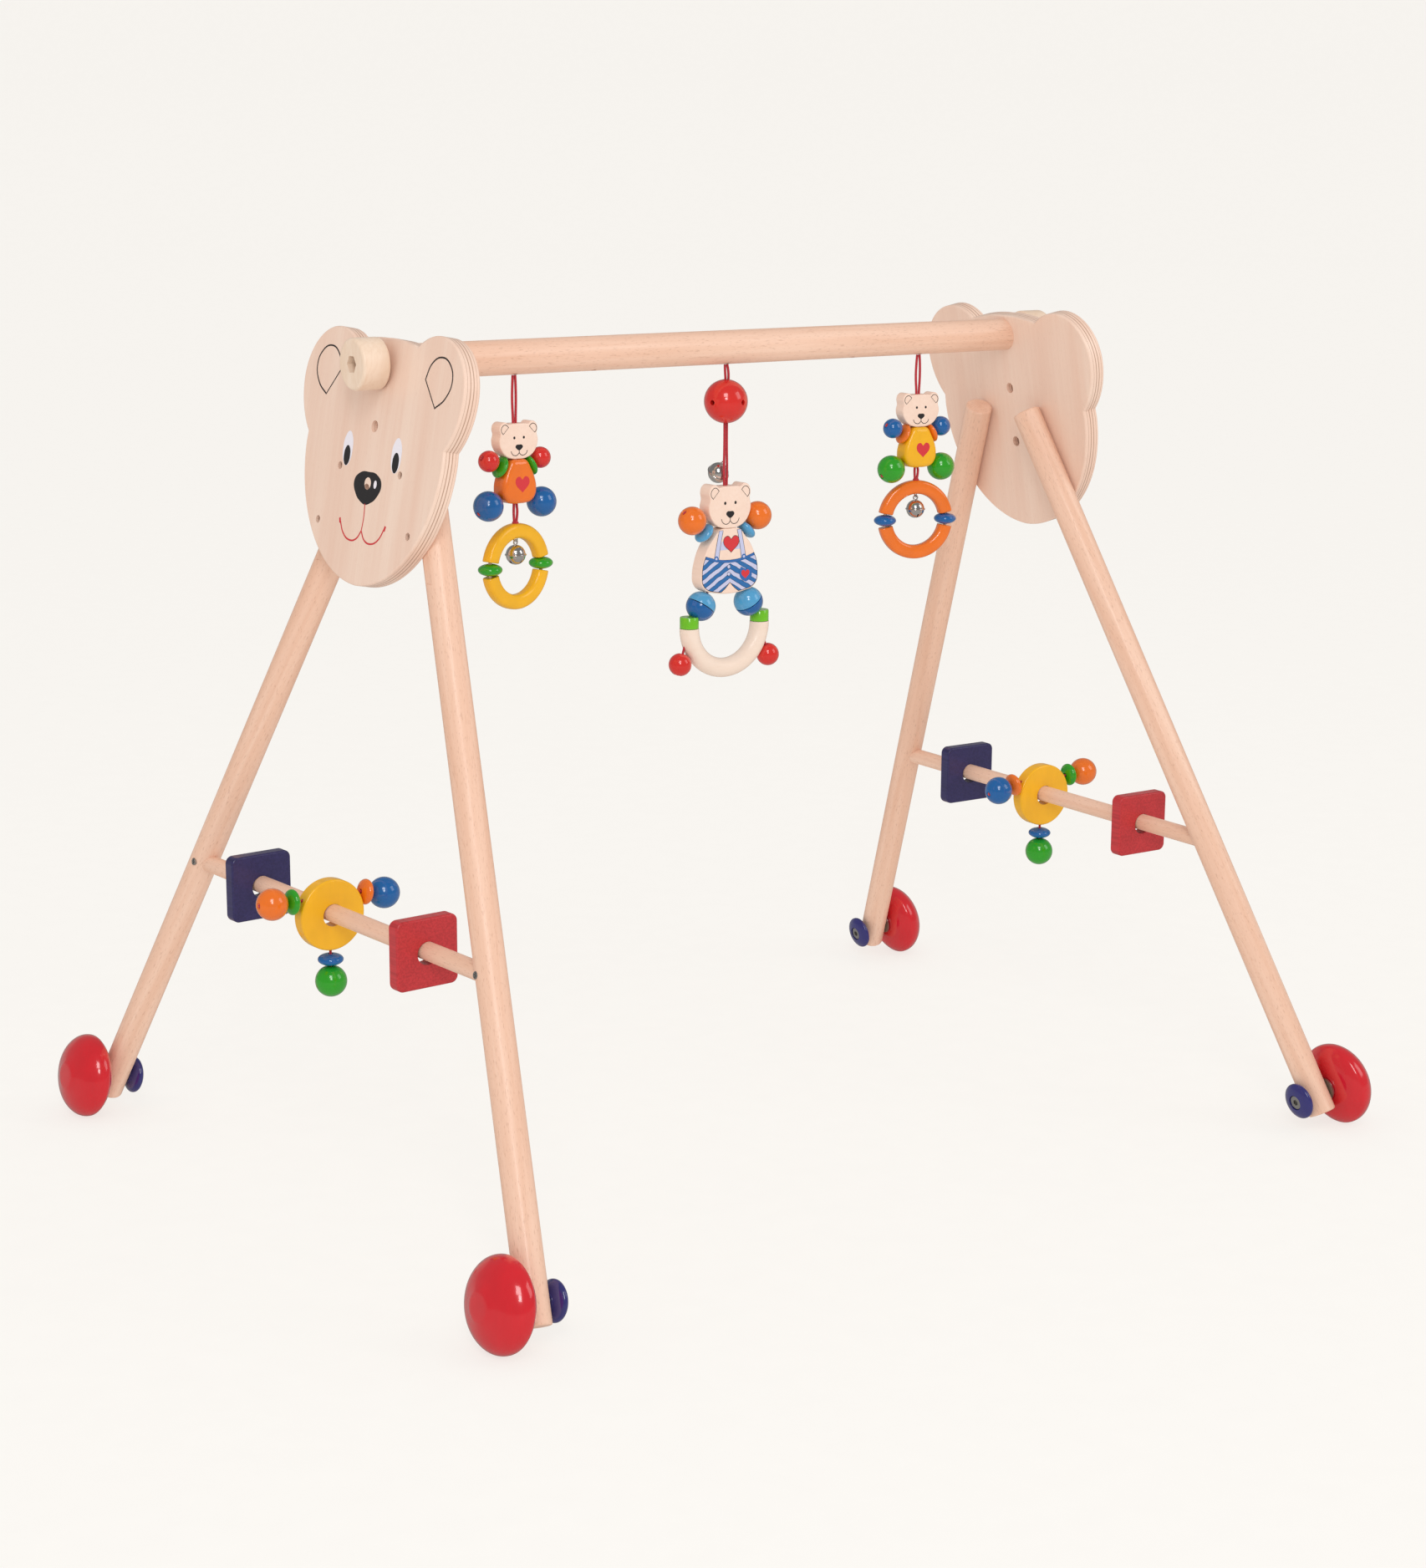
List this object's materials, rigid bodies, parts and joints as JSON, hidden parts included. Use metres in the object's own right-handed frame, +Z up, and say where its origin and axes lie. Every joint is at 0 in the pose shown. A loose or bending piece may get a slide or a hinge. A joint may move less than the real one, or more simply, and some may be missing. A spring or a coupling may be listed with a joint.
{
  "type": "activity play gym",
  "caption": "Free-standing wooden baby play gym with bear-faced end frames, a crossbar of hanging bead toys, and side rails of spinning shapes.",
  "frame": {"origin": "on the floor, in the middle of the gym's footprint", "axes": "+X along the crossbar to the right, -Y the side the toys face, +Z up"},
  "size_m": [0.7868, 0.5898, 0.5714],
  "materials": {
    "beech": "fine sanded, oiled",
    "plywood": "satin clear coat",
    "maple": "satin clear coat",
    "natural_wood": "satin clear coat",
    "red_gloss": "gloss lacquer",
    "blue_gloss": "gloss lacquer",
    "navy_satin": "satin lacquer",
    "yellow_gloss": "gloss lacquer",
    "orange_gloss": "gloss lacquer",
    "green_gloss": "gloss lacquer",
    "light_blue_gloss": "gloss lacquer",
    "red_satin": "satin stain",
    "steel": "zinc plated",
    "bell_chrome": "polished",
    "red_cord": "braided",
    "mixed_beads": "gloss lacquer"
  },
  "bodies": {
    "frame": {"crossbar": "beech", "crossbar_inserts": "steel", "frame_fasteners": "steel", "left_bear_plate": "plywood", "right_bear_plate": "plywood", "left_rail": "beech", "right_rail": "beech", "left_front_leg": "beech", "left_back_leg": "beech", "right_front_leg": "beech", "right_back_leg": "beech"},
    "left_knob": {"left_knob": "maple", "left_knob_bolt": "steel"},
    "left_front_wheel": {"left_front_wheel": "red_gloss", "left_front_hub_disc": "navy_satin", "left_front_axle_screw": "steel"},
    "left_back_wheel": {"left_back_wheel": "red_gloss", "left_back_hub_disc": "navy_satin", "left_back_axle_screw": "steel"},
    "left_blue_square": {"left_blue_square": "navy_satin"},
    "left_red_square": {"left_red_square": "red_satin"},
    "left_spinner": {"left_spinner_disc": "yellow_gloss", "left_spinner_beads": "mixed_beads", "left_spinner_cords": "red_cord"},
    "right_knob": {"right_knob": "maple", "right_knob_bolt": "steel"},
    "right_front_wheel": {"right_front_wheel": "red_gloss", "right_front_hub_disc": "navy_satin", "right_front_axle_screw": "steel"},
    "right_back_wheel": {"right_back_wheel": "red_gloss", "right_back_hub_disc": "navy_satin", "right_back_axle_screw": "steel"},
    "right_blue_square": {"right_blue_square": "navy_satin"},
    "right_red_square": {"right_red_square": "red_satin"},
    "right_spinner": {"right_spinner_disc": "yellow_gloss", "right_spinner_beads": "mixed_beads", "right_spinner_cords": "red_cord"},
    "left_toy": {"left_toy_head": "natural_wood", "left_toy_torso": "orange_gloss", "left_toy_limb_beads": "mixed_beads", "left_toy_cord": "red_cord"},
    "left_toy_ring": {"left_toy_ring": "yellow_gloss"},
    "left_toy_ring_bead_left": {"left_toy_ring_bead_left": "green_gloss"},
    "left_toy_ring_bead_right": {"left_toy_ring_bead_right": "green_gloss"},
    "left_toy_bell": {"left_toy_bell": "bell_chrome"},
    "right_toy": {"right_toy_head": "natural_wood", "right_toy_torso": "yellow_gloss", "right_toy_limb_beads": "mixed_beads", "right_toy_cord": "red_cord"},
    "right_toy_ring": {"right_toy_ring": "orange_gloss"},
    "right_toy_ring_bead_left": {"right_toy_ring_bead_left": "blue_gloss"},
    "right_toy_ring_bead_right": {"right_toy_ring_bead_right": "blue_gloss"},
    "right_toy_bell": {"right_toy_bell": "bell_chrome"},
    "centre_toy": {"centre_toy_cord": "red_cord", "centre_toy_top_bead": "red_gloss", "centre_toy_head": "natural_wood", "centre_toy_torso": "natural_wood", "centre_toy_limb_beads": "mixed_beads", "centre_toy_half_ring": "natural_wood"},
    "centre_toy_bell": {"centre_toy_bell": "bell_chrome"}
  },
  "joints": [
    {"name": "left_knob_turn", "type": "hinge", "parent": "frame", "child": "left_knob", "pos_m": [-0.26965, 0.00512, 0.55134], "axis": [-1, 0, 0], "continuous": true},
    {"name": "left_front_wheel_spin", "type": "hinge", "parent": "frame", "child": "left_front_wheel", "pos_m": [-0.33063, -0.2645, 0.02515], "axis": [-0.9823, -0.0422, 0.1826], "continuous": true},
    {"name": "left_back_wheel_spin", "type": "hinge", "parent": "frame", "child": "left_back_wheel", "pos_m": [-0.35341, 0.26635, 0.02515], "axis": [-0.9823, -0.0422, 0.1826], "continuous": true},
    {"name": "left_blue_square_spin", "type": "hinge", "parent": "frame", "child": "left_blue_square", "pos_m": [-0.31466, 0.1042, 0.19621], "axis": [-0.0429, 0.9991, 0], "continuous": true},
    {"name": "left_red_square_spin", "type": "hinge", "parent": "frame", "child": "left_red_square", "pos_m": [-0.30585, -0.10112, 0.19621], "axis": [-0.0429, 0.9991, 0], "continuous": true},
    {"name": "left_spinner_spin", "type": "hinge", "parent": "frame", "child": "left_spinner", "pos_m": [-0.31069, 0.01168, 0.19621], "axis": [-0.0429, 0.9991, 0], "continuous": true},
    {"name": "right_knob_turn", "type": "hinge", "parent": "frame", "child": "right_knob", "pos_m": [0.26965, 0.00512, 0.55134], "axis": [1, 0, 0], "continuous": true},
    {"name": "right_front_wheel_spin", "type": "hinge", "parent": "frame", "child": "right_front_wheel", "pos_m": [0.33063, -0.2645, 0.02515], "axis": [0.9823, -0.0422, 0.1826], "continuous": true},
    {"name": "right_back_wheel_spin", "type": "hinge", "parent": "frame", "child": "right_back_wheel", "pos_m": [0.35341, 0.26635, 0.02515], "axis": [0.9823, -0.0422, 0.1826], "continuous": true},
    {"name": "right_blue_square_spin", "type": "hinge", "parent": "frame", "child": "right_blue_square", "pos_m": [0.31466, 0.1042, 0.19621], "axis": [0.0429, 0.9991, 0], "continuous": true},
    {"name": "right_red_square_spin", "type": "hinge", "parent": "frame", "child": "right_red_square", "pos_m": [0.30585, -0.10112, 0.19621], "axis": [0.0429, 0.9991, 0], "continuous": true},
    {"name": "right_spinner_spin", "type": "hinge", "parent": "frame", "child": "right_spinner", "pos_m": [0.31069, 0.01168, 0.19621], "axis": [0.0429, 0.9991, 0], "continuous": true},
    {"name": "left_toy_swing", "type": "hinge", "parent": "frame", "child": "left_toy", "pos_m": [-0.171, 0.00253, 0.53984], "axis": [1, 0, 0], "range_deg": [-45, 45]},
    {"name": "left_toy_ring_swing", "type": "hinge", "parent": "left_toy", "child": "left_toy_ring", "pos_m": [-0.171, 0.00253, 0.44294], "axis": [0.9744, 0.225, 0], "range_deg": [-35, 35]},
    {"name": "left_toy_ring_bead_left_spin", "type": "hinge", "parent": "left_toy_ring", "child": "left_toy_ring_bead_left", "pos_m": [-0.194, -0.00278, 0.41434], "axis": [0, 0, 1], "continuous": true},
    {"name": "left_toy_ring_bead_right_spin", "type": "hinge", "parent": "left_toy_ring", "child": "left_toy_ring_bead_right", "pos_m": [-0.148, 0.00784, 0.41434], "axis": [0, 0, 1], "continuous": true},
    {"name": "left_toy_bell_swing", "type": "hinge", "parent": "left_toy_ring", "child": "left_toy_bell", "pos_m": [-0.171, 0.00253, 0.43074], "axis": [0.9744, 0.225, 0], "range_deg": [-22, 22]},
    {"name": "right_toy_swing", "type": "hinge", "parent": "frame", "child": "right_toy", "pos_m": [0.171, 0.00253, 0.53984], "axis": [1, 0, 0], "range_deg": [-45, 45]},
    {"name": "right_toy_ring_swing", "type": "hinge", "parent": "right_toy", "child": "right_toy_ring", "pos_m": [0.171, 0.00253, 0.44954], "axis": [0.9563, -0.2924, 0], "range_deg": [-35, 35]},
    {"name": "right_toy_ring_bead_left_spin", "type": "hinge", "parent": "right_toy_ring", "child": "right_toy_ring_bead_left", "pos_m": [0.14843, 0.00943, 0.42094], "axis": [0, 0, 1], "continuous": true},
    {"name": "right_toy_ring_bead_right_spin", "type": "hinge", "parent": "right_toy_ring", "child": "right_toy_ring_bead_right", "pos_m": [0.19357, -0.00437, 0.42094], "axis": [0, 0, 1], "continuous": true},
    {"name": "right_toy_bell_swing", "type": "hinge", "parent": "right_toy_ring", "child": "right_toy_bell", "pos_m": [0.171, 0.00253, 0.43734], "axis": [0.9563, -0.2924, 0], "range_deg": [-22, 22]},
    {"name": "centre_toy_swing", "type": "hinge", "parent": "frame", "child": "centre_toy", "pos_m": [0, 0.00253, 0.53984], "axis": [1, 0, 0], "range_deg": [-45, 45]},
    {"name": "centre_toy_bell_swing", "type": "hinge", "parent": "centre_toy", "child": "centre_toy_bell", "pos_m": [0, 0.00583, 0.47184], "axis": [1, 0, 0], "range_deg": [0, 60]}
  ]
}
